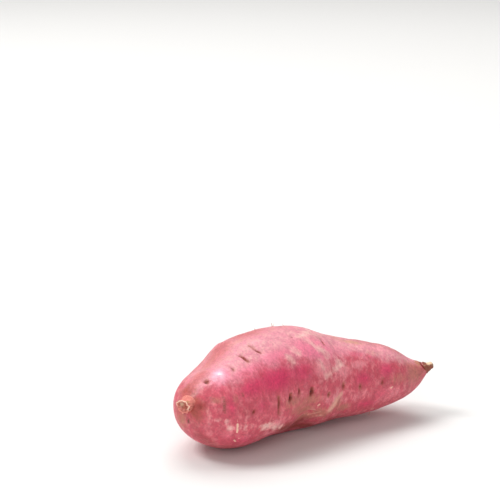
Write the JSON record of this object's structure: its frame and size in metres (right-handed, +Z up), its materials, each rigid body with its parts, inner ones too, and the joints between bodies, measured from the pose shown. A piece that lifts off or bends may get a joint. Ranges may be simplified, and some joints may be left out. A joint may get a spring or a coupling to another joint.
{
  "type": "sweet potato",
  "caption": "Whole raw sweet potato with pink skin, plump at the stem end and tapering to a thin root tip, with rows of shallow eyes and a small flat spot to rest on.",
  "frame": {"origin": "middle of the root's box in plan, on the surface that it rests on", "axes": "+X from the cut stem end to the root tip, +Y towards the back of the root, +Z up"},
  "size_m": [0.1896, 0.0774, 0.073],
  "materials": {
    "skin": "satin vegetable skin, pink with tan scars"
  },
  "bodies": {
    "root": {"sweet_potato": "skin"}
  },
  "joints": []
}
